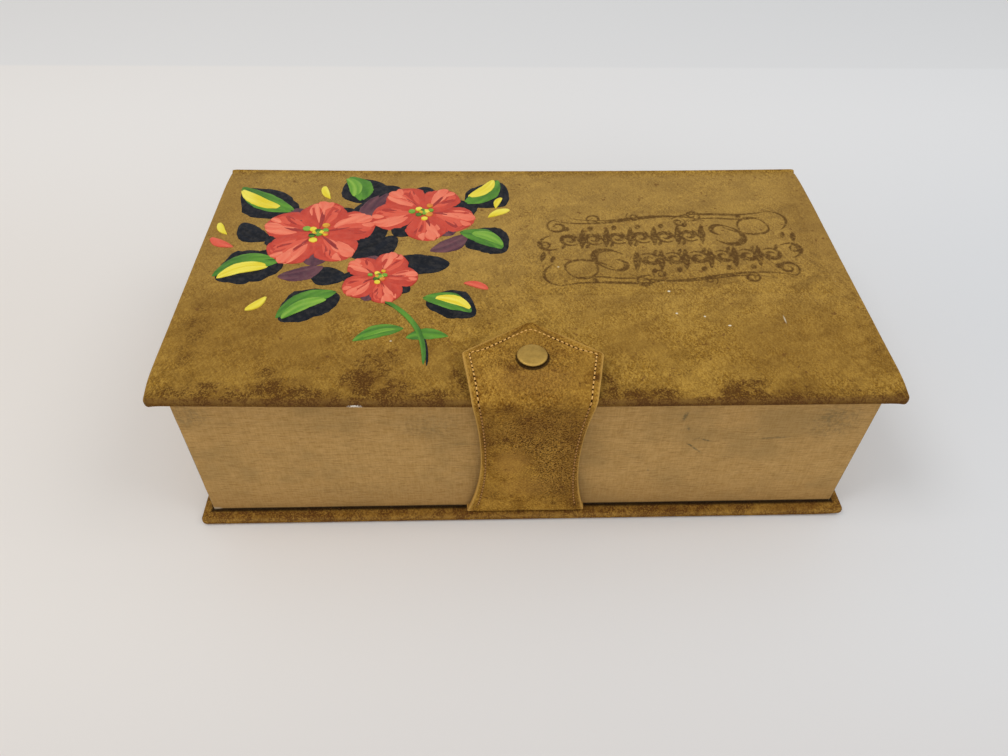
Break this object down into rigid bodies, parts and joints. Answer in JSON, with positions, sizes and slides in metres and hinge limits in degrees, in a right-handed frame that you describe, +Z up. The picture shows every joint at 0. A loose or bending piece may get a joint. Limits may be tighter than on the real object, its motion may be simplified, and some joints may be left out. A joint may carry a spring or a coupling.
{
  "type": "greeting card box",
  "caption": "Book-style keepsake box: suede case with hinged lid, cloth-covered tray, and a stitched strap that snaps over the lid's front edge.",
  "frame": {"origin": "on the table, under the middle of the base", "axes": "+X along the length to the right, -Y to the front where the strap is, +Z up"},
  "size_m": [0.305, 0.1715, 0.0898],
  "materials": {
    "suede": "napped, golden brown",
    "board": "grey book board",
    "book_cloth": "fine ribbed cloth, tan",
    "lining_paper": "plain matt paper",
    "thread": "twisted thread, tan",
    "brass": "antique, satin"
  },
  "bodies": {
    "tray_and_base": {"base_board": "board", "base_cover": "suede", "spine_board": "board", "spine_cover": "suede", "tray_floor": "board", "tray_front_wall": "board", "tray_back_wall": "board", "tray_left_wall": "board", "tray_right_wall": "board", "tray_cloth": "book_cloth", "tray_wall_lining": "lining_paper", "tray_floor_lining": "lining_paper", "strap_tail": "suede"},
    "lid": {"lid_board": "board", "lid_cover": "suede", "lid_lining": "lining_paper", "snap_stud": "brass", "snap_post": "brass"},
    "strap_front": {"strap_front_outer": "suede", "strap_front_lining": "suede", "strap_front_stitches": "thread"},
    "strap_tab": {"strap_tab_outer": "suede", "strap_tab_lining": "suede", "strap_tab_stitches": "thread", "snap_cap": "brass", "snap_socket": "brass", "snap_spring": "brass"}
  },
  "joints": [
    {"name": "lid_hinge", "type": "hinge", "parent": "tray_and_base", "child": "lid", "pos_m": [0, 0.0838, 0.082], "axis": [-1, 0, 0], "range_deg": [0, 205]},
    {"name": "strap_swing", "type": "hinge", "parent": "tray_and_base", "child": "strap_front", "pos_m": [0, -0.0809, 0.0058], "axis": [1, 0, 0], "range_deg": [0, 85]},
    {"name": "tab_lift", "type": "hinge", "parent": "strap_front", "child": "strap_tab", "pos_m": [0, -0.0859, 0.0838], "axis": [1, 0, 0], "range_deg": [0, 87]}
  ]
}
